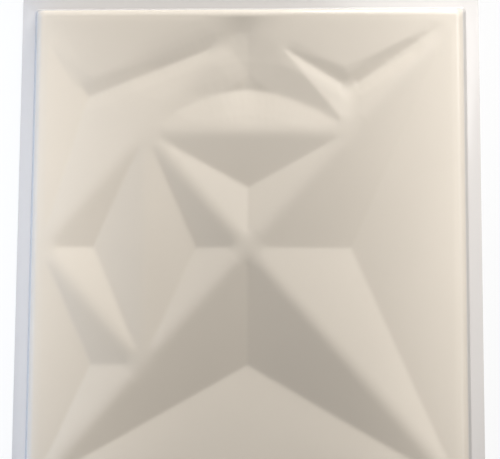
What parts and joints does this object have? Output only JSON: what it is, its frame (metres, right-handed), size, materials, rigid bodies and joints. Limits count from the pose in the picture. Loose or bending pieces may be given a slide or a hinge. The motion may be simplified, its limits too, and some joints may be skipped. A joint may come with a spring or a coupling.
{
  "type": "3d wall panel tile",
  "caption": "Moulded plastic wall panel tile with a faceted star relief on a raised field and a flat lip all round.",
  "frame": {"origin": "middle of the panel in plan, on the plane of the lip's back, which is the wall or floor that it rests on", "axes": "+Z out of the wall, through the relief; +Y up the wall, along the longer side; +X along the shorter side"},
  "size_m": [0.53, 0.59, 0.022],
  "materials": {
    "cream_plastic": "warm white rigid sheet, satin on the field and glossy on the lip"
  },
  "bodies": {
    "root": {"relief_panel": "cream_plastic"}
  },
  "joints": []
}
